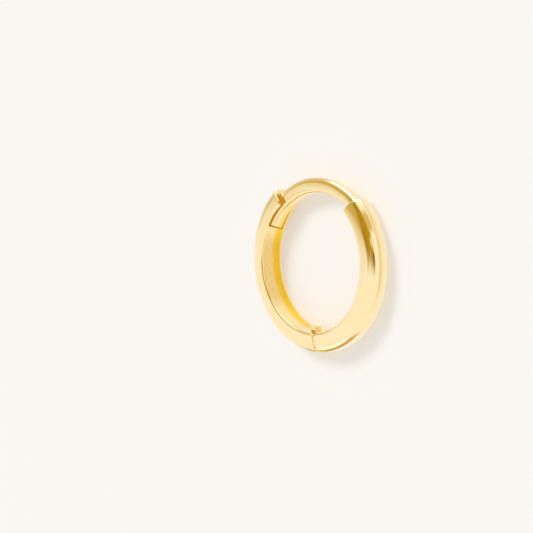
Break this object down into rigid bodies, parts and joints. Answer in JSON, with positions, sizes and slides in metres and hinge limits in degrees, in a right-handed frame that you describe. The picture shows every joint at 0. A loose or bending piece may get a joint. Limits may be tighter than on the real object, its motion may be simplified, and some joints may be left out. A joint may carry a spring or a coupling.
{
  "type": "huggie hoop earring",
  "caption": "Small hinged hoop earring in polished yellow gold, with a domed outside, flat sides and a thin ear wire that closes into a slotted catch.",
  "frame": {"origin": "middle of the outline, on the flat side face that the hoop lies on", "axes": "+Z along the hoop's axis and the hinge's, +Y towards the crown of the ear wire, +X towards the half that opens"},
  "size_m": [0.0122, 0.012, 0.0018],
  "materials": {
    "polished_gold": "polished",
    "pin_gold": "satin"
  },
  "bodies": {
    "catch_body": {"catch_half": "polished_gold", "hinge_pin": "pin_gold"},
    "post_body": {"post_half": "polished_gold"}
  },
  "joints": [
    {"name": "hinge", "type": "hinge", "parent": "catch_body", "child": "post_body", "pos_m": [0.00035, -0.00528, 0.0009], "axis": [0, 0, -1], "range_deg": [0, 28]}
  ]
}
